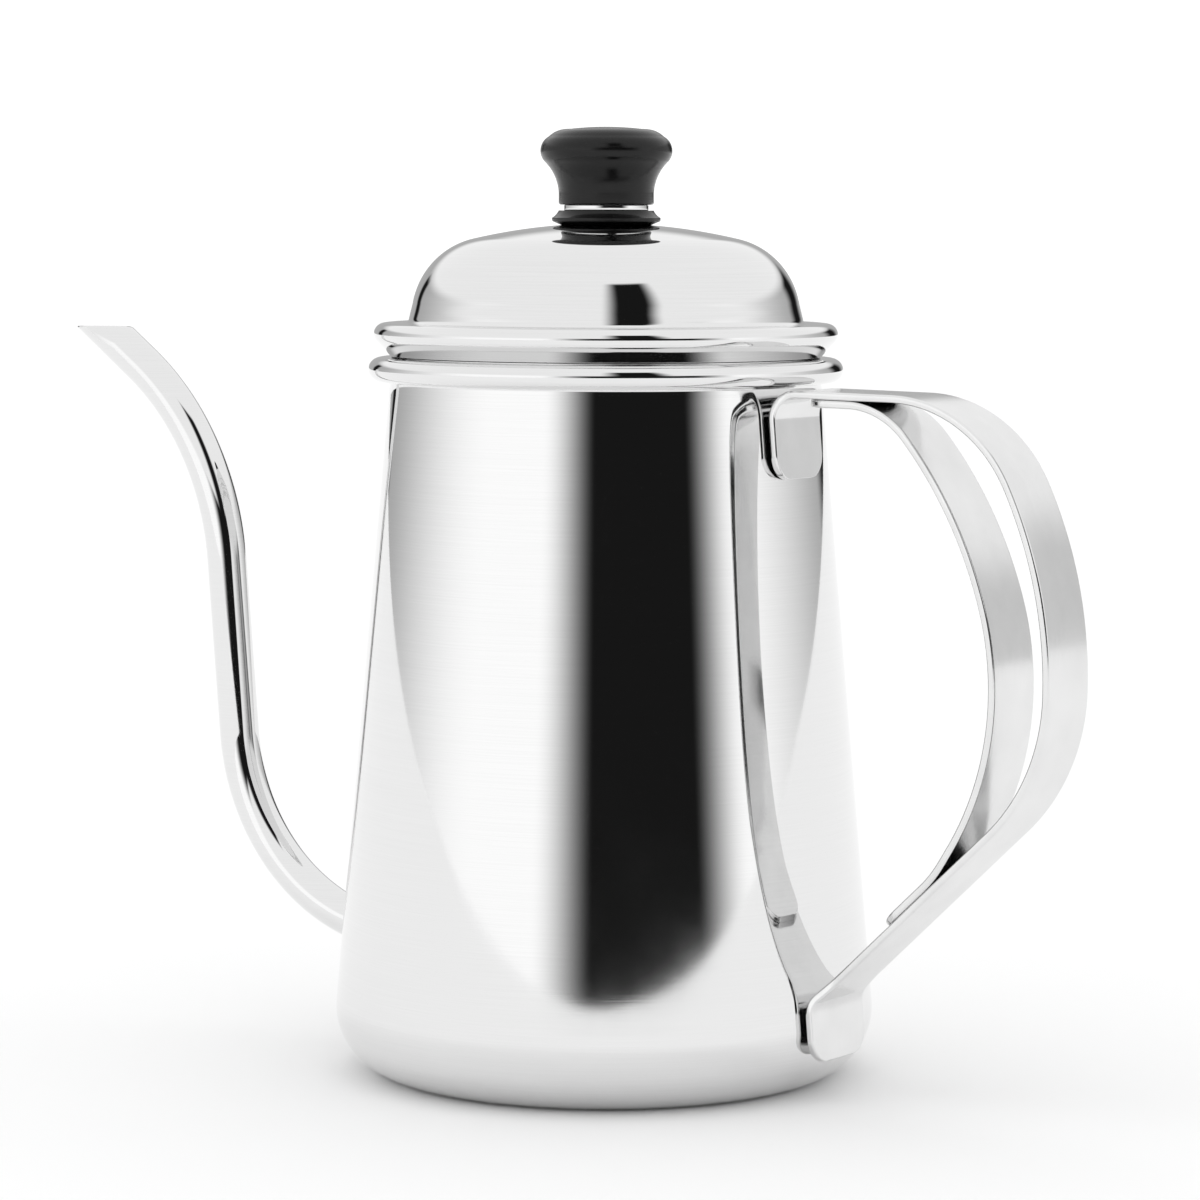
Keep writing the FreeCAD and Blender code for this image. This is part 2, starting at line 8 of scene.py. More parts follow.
import bmesh
import bpy
from mathutils import Euler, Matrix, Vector


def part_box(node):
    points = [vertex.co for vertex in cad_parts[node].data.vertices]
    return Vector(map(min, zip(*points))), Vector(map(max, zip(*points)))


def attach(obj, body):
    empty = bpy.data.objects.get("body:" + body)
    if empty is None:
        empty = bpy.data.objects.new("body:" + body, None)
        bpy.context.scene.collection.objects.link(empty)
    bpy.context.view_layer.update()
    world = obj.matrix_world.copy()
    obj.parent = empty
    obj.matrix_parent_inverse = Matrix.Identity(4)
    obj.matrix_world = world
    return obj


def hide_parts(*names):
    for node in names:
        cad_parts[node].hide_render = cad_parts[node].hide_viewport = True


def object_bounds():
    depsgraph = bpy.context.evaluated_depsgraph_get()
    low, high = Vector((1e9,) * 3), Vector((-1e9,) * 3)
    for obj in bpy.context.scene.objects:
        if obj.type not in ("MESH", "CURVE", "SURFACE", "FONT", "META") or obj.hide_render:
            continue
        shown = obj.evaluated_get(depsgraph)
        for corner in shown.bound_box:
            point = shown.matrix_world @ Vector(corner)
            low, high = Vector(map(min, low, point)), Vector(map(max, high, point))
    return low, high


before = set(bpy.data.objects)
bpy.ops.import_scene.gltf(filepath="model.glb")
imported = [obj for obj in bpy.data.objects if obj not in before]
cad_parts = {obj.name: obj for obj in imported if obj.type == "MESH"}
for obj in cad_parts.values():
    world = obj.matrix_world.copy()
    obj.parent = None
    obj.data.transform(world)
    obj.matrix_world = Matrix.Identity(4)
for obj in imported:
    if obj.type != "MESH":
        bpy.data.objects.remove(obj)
cad_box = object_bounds()
MM = 0.001


def low(node):
    return Vector(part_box(node)[0])


def high(node):
    return Vector(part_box(node)[1])


# ------------------------------------------------------------------------------------ mesh tools
def finish_mesh(name, verts, faces, body, material):
    mesh = bpy.data.meshes.new(name)
    mesh.from_pydata(verts, [], faces)
    bm = bmesh.new()
    bm.from_mesh(mesh)
    bmesh.ops.remove_doubles(bm, verts=bm.verts, dist=0.002 * MM)
    bmesh.ops.recalc_face_normals(bm, faces=bm.faces)
    bm.to_mesh(mesh)
    bm.free()
    for polygon in mesh.polygons:
        polygon.use_smooth = True
    piece = bpy.data.objects.new(name, mesh)
    bpy.context.scene.collection.objects.link(piece)
    mesh.materials.append(material)
    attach(piece, body)
    return piece


def replace(piece, *nodes):
    """The piece stands for the CAD nodes, which are hidden here."""
    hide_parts(*nodes)


def arc_points(start, end, radius, steps):
    """Points after start on the minor arc to end; positive turns left, negative turns right."""
    (x0, y0), (x1, y1) = start, end
    half = math.hypot(x1 - x0, y1 - y0) / 2
    side = math.copysign(1, radius)
    rise = math.sqrt(max(radius * radius - half * half, 0))
    nx, ny = -(y1 - y0) / (2 * half) * side, (x1 - x0) / (2 * half) * side
    cx, cy = (x0 + x1) / 2 + nx * rise, (y0 + y1) / 2 + ny * rise
    first = math.atan2(y0 - cy, x0 - cx)
    sweep = 2 * math.asin(min(half / abs(radius), 1)) * side
    return [(cx + abs(radius) * math.cos(first + sweep * i / steps),
             cy + abs(radius) * math.sin(first + sweep * i / steps)) for i in range(1, steps + 1)]


def outline(corners, arc_step=0.35 * MM, line_step=4 * MM):
    """Dense points of an outline whose corners are (r, z) or (r, z, radius of the edge into it)."""
    points = [corners[0][:2]]
    for corner in corners[1:]:
        start, end = points[-1], corner[:2]
        length = math.dist(start, end)
        if len(corner) == 3:
            steps = max(6, int(length / arc_step))
            points += arc_points(start, end, corner[2], min(steps, 64))
        else:
            steps = max(1, int(length / line_step))
            points += [(start[0] + (end[0] - start[0]) * i / steps,
                        start[1] + (end[1] - start[1]) * i / steps) for i in range(1, steps + 1)]
    return points


def rounded(corners, radius):
    """Mark sharp corners of a closed outline to be eased: each becomes a short arc."""
    eased = []
    count = len(corners)
    for index, corner in enumerate(corners):
        before = Vector(corners[index - 1][:2])
        here = Vector(corner[:2])
        after = Vector(corners[(index + 1) % count][:2])
        into, out = (here - before).normalized(), (after - here).normalized()
        turn = into.x * out.y - into.y * out.x
        curved = len(corner) == 3 or len(corners[(index + 1) % count]) == 3
        if curved or abs(turn) < 0.2 or here.x < 0.01 * MM:
            eased.append(corner)
            continue
        angle = math.acos(max(-1, min(1, into.dot(out))))
        trim = min(radius * math.tan(angle / 2), (here - before).length / 3, (after - here).length / 3)
        bend = trim / math.tan(angle / 2)
        eased.append(tuple(here - into * trim))
        eased.append((*(here + out * trim), math.copysign(bend, turn)))
    return eased


def lathe(name, corners, body, material, around=256, ease=0.0, line_step=4 * MM):
    """Closed outline turned round Z. Corners on the axis close the solid."""
    if ease:
        corners = rounded(corners, ease)
    closing = corners[0] if len(corners[0]) == 3 else corners[0][:2]
    profile = outline([corners[0][:2]] + list(corners[1:]) + [closing], line_step=line_step)[:-1]
    verts, rings = [], []
    for r, z in profile:
        if r < 0.001 * MM:
            rings.append([len(verts)])
            verts.append((0, 0, z))
        else:
            rings.append(list(range(len(verts), len(verts) + around)))
            verts += [(r * math.cos(2 * math.pi * i / around), r * math.sin(2 * math.pi * i / around), z)
                      for i in range(around)]
    faces = []
    for index, ring in enumerate(rings):
        after = rings[(index + 1) % len(rings)]
        if len(ring) == 1 and len(after) == 1:
            continue
        for i in range(around):
            j = (i + 1) % around
            if len(ring) == 1:
                faces.append((ring[0], after[j], after[i]))
            elif len(after) == 1:
                faces.append((ring[i], ring[j], after[0]))
            else:
                faces.append((ring[i], ring[j], after[j], after[i]))
    piece = finish_mesh(name, verts, faces, body, material)
    keep_creases(piece)
    return piece


def keep_creases(piece, degrees=35):
    """Split shading where faces meet at more than an angle."""
    mesh = piece.data
    bm = bmesh.new()
    bm.from_mesh(mesh)
    for edge in bm.edges:
        if len(edge.link_faces) == 2 and edge.calc_face_angle(0) > math.radians(degrees):
            edge.smooth = False
    bm.to_mesh(mesh)
    bm.free()


class Path:
    """Plane path in XZ of runs and turns, sampled finely: each sample is (point, heading, travel)."""

    def __init__(self, x, z, heading, step=0.5 * MM):
        self.point = Vector((x, z))
        self.heading = math.radians(heading)
        self.travel = 0.0
        self.step = step
        self.samples = [(self.point.copy(), self.heading, 0.0)]

    def _mark(self, length):
        self.travel += length
        self.samples.append((self.point.copy(), self.heading, self.travel))

    def run(self, length, step=None):
        count = max(1, math.ceil(length / (step or self.step)))
        way = Vector((math.cos(self.heading), math.sin(self.heading)))
        for _ in range(count):
            self.point = self.point + way * (length / count)
            self._mark(length / count)

    def turn(self, radius, angle):
        """Arc to the left for a positive angle, in degrees, and to the right for a negative one."""
        length = abs(math.radians(angle)) * radius
        count = max(4, math.ceil(length / self.step))
        for _ in range(count):
            half = math.radians(angle) / count / 2
            chord = 2 * radius * math.sin(abs(half))
            self.heading += half
            self.point = self.point + Vector((math.cos(self.heading), math.sin(self.heading))) * chord
            self.heading += half
            self._mark(length / count)


def smoothstep(value):
    value = max(0.0, min(1.0, value))
    return value * value * (3 - 2 * value)


def strap(name, path, thickness, half_width, body, material, corner=0.45 * MM, corner_steps=8):
    """Flat bar with rounded edges along a path; half_width(travel) gives its half width."""
    verts, rings = [], []
    for point, heading, travel in path.samples:
        normal = Vector((-math.sin(heading), 0, math.cos(heading)))
        centre = Vector((point.x, 0, point.y))
        reach, depth = half_width(travel) - corner, thickness / 2 - corner
        ring = []
        for quarter, (side, face) in enumerate(((1, 1), (-1, 1), (-1, -1), (1, -1))):
            for i in range(corner_steps + 1):
                angle = math.radians(90 * (quarter + i / corner_steps))
                across = side * reach + corner * math.cos(angle)
                up = face * depth + corner * math.sin(angle)
                ring.append(len(verts))
                verts.append(centre + Vector((0, across, 0)) + normal * up)
        rings.append(ring)
    faces = [(a[i], a[(i + 1) % len(a)], b[(i + 1) % len(b)], b[i])
             for a, b in zip(rings, rings[1:]) for i in range(len(a))]
    faces += [tuple(reversed(rings[0])), tuple(rings[-1])]
    piece = finish_mesh(name, verts, faces, body, material)
    keep_creases(piece, 60)
    weighted = piece.modifiers.new("weighted_normals", "WEIGHTED_NORMAL")
    weighted.keep_sharp = True
    weighted.mode = "FACE_AREA"
    weighted.weight = 100
    return piece


def tube(name, path, outer, wall, lip_height, body, material, around=64):
    """Bent tube with an open bore, cut level at its far end and with the cut edge eased."""
    samples = [s for s in path.samples if s[0].y < lip_height - outer]
    last_point, last_heading, _ = samples[-1]
    ease = wall * 0.3

    def ring(point, heading, radius, level=None):
        normal = Vector((-math.sin(heading), 0, math.cos(heading)))
        along = Vector((math.cos(heading), 0, math.sin(heading)))
        made = []
        for i in range(around):
            angle = 2 * math.pi * i / around
            spot = Vector((point.x, 0, point.y)) + normal * radius * math.sin(angle)
            spot.y += radius * math.cos(angle)
            if level is not None:
                spot += along * ((level - spot.z) / along.z)
            made.append(len(verts))
            verts.append(spot)
        return made

    verts = []
    levels = [(last_point, last_heading, outer, lip_height - ease),
              (last_point, last_heading, outer - ease, lip_height),
              (last_point, last_heading, outer - wall + ease, lip_height),
              (last_point, last_heading, outer - wall, lip_height - ease)]
    rings = [ring(p, h, outer) for p, h, _ in samples]
    rings += [ring(*level) for level in levels]
    rings += [ring(p, h, outer - wall) for p, h, _ in reversed(samples)]
    faces = [(a[i], a[(i + 1) % around], b[(i + 1) % around], b[i])
             for a, b in zip(rings, rings[1:] + rings[:1]) for i in range(around)]
    piece = finish_mesh(name, verts, faces, body, material)
    keep_creases(piece, 50)
    return piece


# ------------------------------------------------------------------------------------- materials
def new_material(name, metallic, roughness, colour):
    material = bpy.data.materials.new(name)
    material.use_nodes = True
    shader = material.node_tree.nodes["Principled BSDF"]
    shader.inputs["Metallic"].default_value = metallic
    shader.inputs["Roughness"].default_value = roughness
    shader.inputs["Base Color"].default_value = (*colour, 1)
    return material, material.node_tree, shader


def noise(tree, scale, stretch=(1, 1, 1), detail=4.0):
    """Noise in the object's own space, in cycles per metre along each axis."""
    nodes, links = tree.nodes, tree.links
    coordinates = nodes.new("ShaderNodeTexCoord")
    mapping = nodes.new("ShaderNodeMapping")
    mapping.inputs["Scale"].default_value = stretch
    texture = nodes.new("ShaderNodeTexNoise")
    texture.inputs["Scale"].default_value = scale
    texture.inputs["Detail"].default_value = detail
    links.new(coordinates.outputs["Object"], mapping.inputs["Vector"])
    links.new(mapping.outputs["Vector"], texture.inputs["Vector"])
    return texture.outputs["Fac"]


def to_range(tree, value, low_end, high_end):
    scaled = tree.nodes.new("ShaderNodeMapRange")
    scaled.inputs["From Min"].default_value = 0.3
    scaled.inputs["From Max"].default_value = 0.7
    scaled.inputs["To Min"].default_value = low_end
    scaled.inputs["To Max"].default_value = high_end
    tree.links.new(value, scaled.inputs["Value"])
    return scaled.outputs["Result"]


def bump(tree, shader, height, strength, distance):
    node = tree.nodes.new("ShaderNodeBump")
    node.inputs["Strength"].default_value = strength
    node.inputs["Distance"].default_value = distance
    tree.links.new(height, node.inputs["Height"])
    tree.links.new(node.outputs["Normal"], shader.inputs["Normal"])


def tint(tree, shader, value, dark, light):
    ramp = tree.nodes.new("ShaderNodeValToRGB")
    ramp.color_ramp.elements[0].position = 0.3
    ramp.color_ramp.elements[0].color = (*dark, 1)
    ramp.color_ramp.elements[1].position = 0.7
    ramp.color_ramp.elements[1].color = (*light, 1)
    tree.links.new(value, ramp.inputs["Fac"])
    tree.links.new(ramp.outputs["Color"], shader.inputs["Base Color"])


def polished_steel():
    """Mirror-polished sheet: faint hoop-wise buffing lines and slightly uneven gloss."""
    material, tree, shader = new_material("polished_steel", 1.0, 0.06, (0.80, 0.80, 0.80))
    lines = noise(tree, 1.0, (40, 40, 5000), 3.0)
    clouds = noise(tree, 45.0)
    tree.links.new(to_range(tree, clouds, 0.02, 0.045), shader.inputs["Roughness"])
    tint(tree, shader, lines, (0.785, 0.785, 0.785), (0.81, 0.81, 0.81))
    bump(tree, shader, lines, 0.02, 0.00001)
    return material


def satin_steel():
    """Strip steel with fine brush lines along its length."""
    material, tree, shader = new_material("satin_steel", 1.0, 0.16, (0.78, 0.78, 0.78))
    lines = noise(tree, 1.0, (60, 7000, 60), 4.0)
    clouds = noise(tree, 120.0)
    tree.links.new(to_range(tree, lines, 0.11, 0.2), shader.inputs["Roughness"])
    tint(tree, shader, clouds, (0.76, 0.76, 0.76), (0.81, 0.81, 0.81))
    bump(tree, shader, lines, 0.1, 0.00002)
    return material


def base_steel():
    """Underside with coarser circular polishing."""
    material, tree, shader = new_material("base_steel", 1.0, 0.3, (0.66, 0.66, 0.65))
    nodes, links = tree.nodes, tree.links
    coordinates = nodes.new("ShaderNodeTexCoord")
    rings = nodes.new("ShaderNodeTexWave")
    rings.wave_type = "RINGS"
    rings.rings_direction = "Z"
    rings.inputs["Scale"].default_value = 900.0
    rings.inputs["Distortion"].default_value = 1.5
    links.new(coordinates.outputs["Object"], rings.inputs["Vector"])
    tint(tree, shader, rings.outputs["Fac"], (0.58, 0.58, 0.575), (0.70, 0.70, 0.69))
    links.new(to_range(tree, noise(tree, 400.0), 0.24, 0.38), shader.inputs["Roughness"])
    bump(tree, shader, rings.outputs["Fac"], 0.15, 0.00002)
    return material


def black_phenolic():
    """Moulded and turned black plastic with fine turning marks round it."""
    material, tree, shader = new_material("black_phenolic", 0.0, 0.22, (0.004, 0.004, 0.004))
    marks = noise(tree, 1.0, (150, 150, 6000), 3.0)
    speckle = noise(tree, 2500.0)
    shader.inputs["Specular IOR Level"].default_value = 0.32
    tree.links.new(to_range(tree, marks, 0.16, 0.28), shader.inputs["Roughness"])
    tint(tree, shader, speckle, (0.002, 0.002, 0.002), (0.006, 0.006, 0.006))
    bump(tree, shader, marks, 0.12, 0.00002)
    return material


def plain_metal(name, dark, light, rough_low, rough_high):
    material, tree, shader = new_material(name, 1.0, rough_low, light)
    marks = noise(tree, 1.0, (300, 300, 5000), 3.0)
    tree.links.new(to_range(tree, marks, rough_low, rough_high), shader.inputs["Roughness"])
    tint(tree, shader, noise(tree, 900.0), dark, light)
    bump(tree, shader, marks, 0.15, 0.00002)
    return material


steel = polished_steel()
satin = satin_steel()
underside = base_steel()
phenolic = black_phenolic()
brass = plain_metal("brass", (0.70, 0.53, 0.24), (0.82, 0.66, 0.34), 0.2, 0.35)
zinc = plain_metal("zinc_steel", (0.58, 0.60, 0.64), (0.70, 0.71, 0.74), 0.25, 0.4)


# ---------------------------------------------------------------------------------------- vessel
WALL = 0.8 * MM
FOOT_ROUND = 13.0 * MM
BEAD_ROUND = 2.25 * MM
SHOULDER_RADIUS = 41.4 * MM
BEAD_CENTRE = 43.25 * MM
MOUTH_RADIUS = 41.2 * MM
FOOT_LIP = 39.0 * MM
vessel_radius = high("body_shell").x
bead_top = high("body_shell").z
shoulder_height = bead_top - 2 * BEAD_ROUND


def wall_slope():
    return (vessel_radius - SHOULDER_RADIUS) / (shoulder_height - FOOT_ROUND)


def wall_radius(height):
    return vessel_radius - (height - FOOT_ROUND) * wall_slope()


def foot_arc():
    """End and radius of the foot's outer curve, which runs into the leaning wall without a kink."""
    lean = math.atan(wall_slope())
    centre = vessel_radius - FOOT_ROUND / math.cos(lean)
    end = (centre + FOOT_ROUND * math.cos(lean), FOOT_ROUND * (1 + math.sin(lean)))
    chord = math.dist((FOOT_LIP, 0), end)
    return (*end, chord / (2 * math.sin((math.pi / 2 + lean) / 2)))


def cut_round_hole(piece, centre, radius, depth):
    """Bore through a piece along X."""
    mesh = bpy.data.meshes.new("cutter")
    bm = bmesh.new()
    turn = Euler((0, math.pi / 2, 0)).to_matrix().to_4x4()
    bmesh.ops.create_cone(bm, cap_ends=True, segments=48, radius1=radius, radius2=radius,
                          depth=depth, matrix=turn)
    bm.to_mesh(mesh)
    bm.free()
    cutter = bpy.data.objects.new("cutter", mesh)
    cutter.location = centre
    bpy.context.scene.collection.objects.link(cutter)
    bore = piece.modifiers.new("bore", "BOOLEAN")
    bore.operation = "DIFFERENCE"
    bore.object = cutter
    bore.solver = "EXACT"
    with_hole = bpy.data.meshes.new_from_object(piece.evaluated_get(bpy.context.evaluated_depsgraph_get()))
    piece.modifiers.remove(bore)
    piece.data = with_hole
    bpy.data.objects.remove(cutter)


def make_vessel():
    bead_middle = bead_top - BEAD_ROUND
    inner_bead = BEAD_ROUND - WALL
    shell = lathe("vessel", [
        (FOOT_LIP, 0),
        foot_arc(),
        (SHOULDER_RADIUS, shoulder_height),
        (BEAD_CENTRE, shoulder_height),
        (BEAD_CENTRE + BEAD_ROUND, bead_middle, BEAD_ROUND),
        (BEAD_CENTRE, bead_top, BEAD_ROUND),
        (MOUTH_RADIUS, bead_top),
        (MOUTH_RADIUS, bead_top - WALL),
        (BEAD_CENTRE, bead_top - WALL),
        (BEAD_CENTRE + inner_bead, bead_middle, -inner_bead),
        (BEAD_CENTRE, shoulder_height + WALL, -inner_bead),
        (SHOULDER_RADIUS - WALL, shoulder_height + WALL),
        (vessel_radius - WALL, FOOT_ROUND),
        (FOOT_LIP, WALL, -(FOOT_ROUND - WALL)),
    ], "kettle", steel, ease=0.35 * MM, line_step=2 * MM)
    port = Vector((-wall_radius(SPOUT_ROOT), 0, SPOUT_ROOT))
    cut_round_hole(shell, port, SPOUT_OUTER - SPOUT_WALL, 4 * WALL)
    replace(shell, "body_shell")


# ----------------------------------------------------------------------------------------- spout
SPOUT_OUTER = 4.0 * MM
SPOUT_WALL = 0.7 * MM
SPOUT_ROOT = 22.2 * MM
SPOUT_START = 50.0 * MM
SPOUT_MOUTH = 50.6 * MM
SPOUT_HEEL = (40.8 * MM, -85.0)
SPOUT_RISER = 35.6 * MM
SPOUT_NECK = (54.8 * MM, 48.7)
SPOUT_LIP_RUN = 25.0 * MM
spout_lip = high("spout_tube").z


def make_spout():
    path = Path(-SPOUT_START, SPOUT_ROOT, 180)
    path.turn(*SPOUT_HEEL)
    path.run(SPOUT_RISER)
    path.turn(*SPOUT_NECK)
    path.run(SPOUT_LIP_RUN)
    path.samples = [sample for sample in path.samples if sample[0].x < -SPOUT_MOUTH]
    spout = tube("spout", path, SPOUT_OUTER, SPOUT_WALL, spout_lip, "kettle", steel)
    replace(spout, "spout_tube")


# ---------------------------------------------------------------------------------------- handle
STRAP = 1.5 * MM
STRAP_SHEET = STRAP - 0.03 * MM
STRAP_HALF = 7.5 * MM
TOP_PAD_HALF = 8.1 * MM
BOTTOM_PAD_HALF = 9.3 * MM
PAD_CORNER = 4.5 * MM
CORNER_STEP = 0.12 * MM
PAD_FOOT = 116.4 * MM
TOP_PAD_RUN = 11.2 * MM
TOP_BEND = 4.5 * MM
ARM_DROOP = 0.8
ARM_RUN = 20.6 * MM
BOTTOM_BEND = 4.0 * MM
BOTTOM_PAD_RUN = 9.2 * MM
OUTER_TURNS = ((27.6 * MM, 62.3), (79.5 * MM, 27.9), (36.7 * MM, 46.0))
INNER_TURNS = ((16.5 * MM, 48.0), (79.8 * MM, 24.9), (54.8 * MM, 48.5))
GRIP_TIP = 49.0 * MM
GRIP_HEEL_RUN = 3.2 * MM
GRIP_TAIL_ROUND = 25.1 * MM
GRIP_TAIL_RUN = 11.8 * MM
TOP_TAPER_END, TOP_TAPER = 17 * MM, 6 * MM
BOTTOM_TAPER_END, BOTTOM_TAPER = 18 * MM, 9 * MM


def along(heading):
    return Vector((math.cos(heading), math.sin(heading)))


def outer_path(mark=None):
    """Up the wall, out, round the back and in to the wall again, ending along it."""
    lean = math.degrees(math.atan(wall_slope()))
    start = Vector((wall_radius(PAD_FOOT) + STRAP / 2 / math.cos(math.radians(lean)), PAD_FOOT))
    path = Path(*start, 90 + lean)
    path.run(PAD_CORNER, CORNER_STEP)
    path.run(TOP_PAD_RUN - PAD_CORNER)
    path.turn(TOP_BEND, -(90 + ARM_DROOP + lean))
    arm = path.point.copy()
    path.run(ARM_RUN)
    for radius, angle in OUTER_TURNS:
        path.turn(radius, -angle)
    straight = path.point.copy()
    if mark is not None:
        mark.update(arm=arm, straight=straight, heading=path.heading)
    closing = -90 + lean - math.degrees(path.heading)
    gap = (path.point - start).dot(along(math.radians(lean)))
    tangent = BOTTOM_BEND * math.tan(math.radians(closing / 2))
    path.run(gap / math.sin(math.radians(closing)) - tangent)
    path.turn(BOTTOM_BEND, closing)
    path.run(BOTTOM_PAD_RUN - PAD_CORNER)
    path.run(PAD_CORNER, CORNER_STEP)
    return path


def inner_path():
    """Against the underside of the arm, round behind the fingers and down onto the outer strap."""
    mark = {}
    outer_path(mark)
    arm_way, way_in = along(-math.radians(ARM_DROOP)), along(mark["heading"])
    inside = Vector((way_in.y, -way_in.x))
    tip = mark["arm"] + Vector((arm_way.y, -arm_way.x)) * STRAP
    tip += arm_way * (GRIP_TIP - mark["arm"].x)
    total = sum(angle for _, angle in OUTER_TURNS)

    def trace(first_run):
        path = Path(*tip, -ARM_DROOP)
        path.run(PAD_CORNER, CORNER_STEP)
        path.run(first_run - PAD_CORNER)
        for radius, angle in INNER_TURNS:
            path.turn(radius, -angle)
        path.run(GRIP_HEEL_RUN)
        path.turn(GRIP_TAIL_ROUND, sum(angle for _, angle in INNER_TURNS) - total)
        return path

    trial = 2 * PAD_CORNER
    seat = mark["straight"] + inside * STRAP
    miss = (seat - trace(trial).point).dot(inside)
    path = trace(trial + miss / arm_way.dot(inside))
    path.run(GRIP_TAIL_RUN - PAD_CORNER)
    path.run(PAD_CORNER, CORNER_STEP)
    return path


def round_end(width, short):
    """Half width near an end whose two corners are rounded."""
    if short >= PAD_CORNER:
        return width
    return width - PAD_CORNER + math.sqrt(PAD_CORNER ** 2 - (PAD_CORNER - short) ** 2)


def make_outer_strap():
    path = outer_path()
    total = path.travel

    def half_width(travel):
        left = total - travel
        narrow = smoothstep((TOP_TAPER_END - travel) / TOP_TAPER)
        top = STRAP_HALF + (TOP_PAD_HALF - STRAP_HALF) * narrow
        flare = smoothstep((BOTTOM_TAPER_END - left) / BOTTOM_TAPER)
        width = max(top, STRAP_HALF + (BOTTOM_PAD_HALF - STRAP_HALF) * flare)
        return round_end(width, min(travel, left))

    outer = strap("outer_strap", path, STRAP_SHEET, half_width, "kettle", satin)
    replace(outer, "handle_outer_strap")


def make_inner_strap():
    path = inner_path()
    total = path.travel
    inner = strap("inner_strap", path, STRAP_SHEET,
                  lambda travel: round_end(STRAP_HALF, min(travel, total - travel)), "kettle", satin)
    replace(inner, "handle_inner_strap")


# ------------------------------------------------------------------------------------------- lid
SHEET = 0.7 * MM
SCREW_HOLE = 2.2 * MM
RIM_FOOT = 41.2 * MM
RIM_ROUND = 2.05 * MM
RIM_TAPER = math.radians(50)
DOME_RADIUS = 37.7 * MM
DOME_WALL_RADIUS = 37.0 * MM
DOME_WALL_HEIGHT = 148.5 * MM
DOME_FOOT = 1.0 * MM
DOME_SHOULDER = 15.3 * MM
CROWN_EDGE = 25.0 * MM
CROWN_EDGE_HEIGHT = 160.9 * MM
CROWN = 111.0 * MM
rim_centre = high("lid_shell").x - RIM_ROUND
lid_seat = low("lid_shell").z
rim_top = high("lid_skirt").z + SHEET


def crown_height(radius):
    return CROWN_EDGE_HEIGHT - math.sqrt(CROWN ** 2 - CROWN_EDGE ** 2) + math.sqrt(CROWN ** 2 - radius ** 2)


def make_lid():
    """One sheet: crown, shoulder, a groove round the dome's foot and a rolled rim."""
    out, down = math.cos(RIM_TAPER), math.sin(RIM_TAPER)
    rim_middle = rim_top - RIM_ROUND
    inner_round = RIM_ROUND - SHEET
    shell = lathe("lid", [
        (SCREW_HOLE, crown_height(SCREW_HOLE) - SHEET),
        (CROWN_EDGE, CROWN_EDGE_HEIGHT - SHEET, -(CROWN - SHEET)),
        (DOME_WALL_RADIUS - SHEET, DOME_WALL_HEIGHT, -(DOME_SHOULDER - SHEET)),
        (DOME_RADIUS - SHEET, rim_top + DOME_FOOT),
        (DOME_RADIUS + DOME_FOOT, rim_top - SHEET, DOME_FOOT + SHEET),
        (rim_centre, rim_top - SHEET),
        (rim_centre + inner_round * out, rim_middle - inner_round * down, -inner_round),
        (RIM_FOOT - SHEET, lid_seat + SHEET / 2),
        (RIM_FOOT, lid_seat),
        (rim_centre + RIM_ROUND * out, rim_middle - RIM_ROUND * down),
        (rim_centre, rim_top, RIM_ROUND),
        (DOME_RADIUS + DOME_FOOT, rim_top),
        (DOME_RADIUS, rim_top + DOME_FOOT, -DOME_FOOT),
        (DOME_WALL_RADIUS, DOME_WALL_HEIGHT),
        (CROWN_EDGE, CROWN_EDGE_HEIGHT, DOME_SHOULDER),
        (SCREW_HOLE, crown_height(SCREW_HOLE), CROWN),
    ], "lid", steel, line_step=1 * MM)
    replace(shell, "lid_shell")


# ------------------------------------------------------------------------------------------ knob
FLANGE_TOP = 9.1 * MM
FLANGE_FOOT = 8.6 * MM
FLANGE_EDGE = 0.6 * MM
FLANGE_EDGE_HEIGHT = 164.2 * MM
FLANGE_SWEEP = 3.0 * MM
KNOB_FOOT = 9.1 * MM
# The grip's outline above its foot, as (radius, rise, radius of the curve into it).
GRIP_CHEEK = (11.9 * MM, 8.3 * MM, -9.0 * MM)
GRIP_BROW = (11.0 * MM, 13.0 * MM, 3.1 * MM)
GRIP_CROWN_EDGE = (7.2 * MM, 14.4 * MM, 5.0 * MM)
GRIP_WAIST = 2.2 * MM
GRIP_CROWN = 60.0 * MM
knob_low = low("knob").z
knob_top = high("knob").z
flange_radius = high("knob_base").x
flange_top_height = high("knob_base").z


def make_knob():
    """Turned foot, steel ring and flared grip."""
    foot = lathe("knob_foot", [
        (SCREW_HOLE, crown_height(SCREW_HOLE)),
        (FLANGE_FOOT, crown_height(FLANGE_FOOT), -CROWN),
        (flange_radius, FLANGE_EDGE_HEIGHT),
        (flange_radius, FLANGE_EDGE_HEIGHT + FLANGE_EDGE),
        (FLANGE_TOP, flange_top_height, -FLANGE_SWEEP),
        (SCREW_HOLE, flange_top_height),
    ], "lid", phenolic, around=128, ease=0.3 * MM)
    replace(foot, "knob_base")

    ring_radius, ring_low, ring_high = high("knob_collar").x, low("knob_collar").z, high("knob_collar").z
    ring = lathe("knob_ring", [
        (SCREW_HOLE, ring_low),
        (ring_radius, ring_low),
        (ring_radius, ring_high),
        (SCREW_HOLE, ring_high),
    ], "lid", steel, around=128, ease=0.2 * MM)
    replace(ring, "knob_collar")

    socket_radius, socket_top = high("knob_insert").x, high("knob_insert").z
    curves = [(r, knob_low + rise, bend) for r, rise, bend in (GRIP_CHEEK, GRIP_BROW, GRIP_CROWN_EDGE)]
    grip = lathe("knob_grip", [
        (0, socket_top),
        (socket_radius, socket_top),
        (socket_radius, knob_low),
        (KNOB_FOOT, knob_low),
        (KNOB_FOOT, knob_low + GRIP_WAIST),
        *curves,
        (0, knob_top, GRIP_CROWN),
    ], "lid", phenolic, around=128, ease=0.4 * MM)
    replace(grip, "knob")


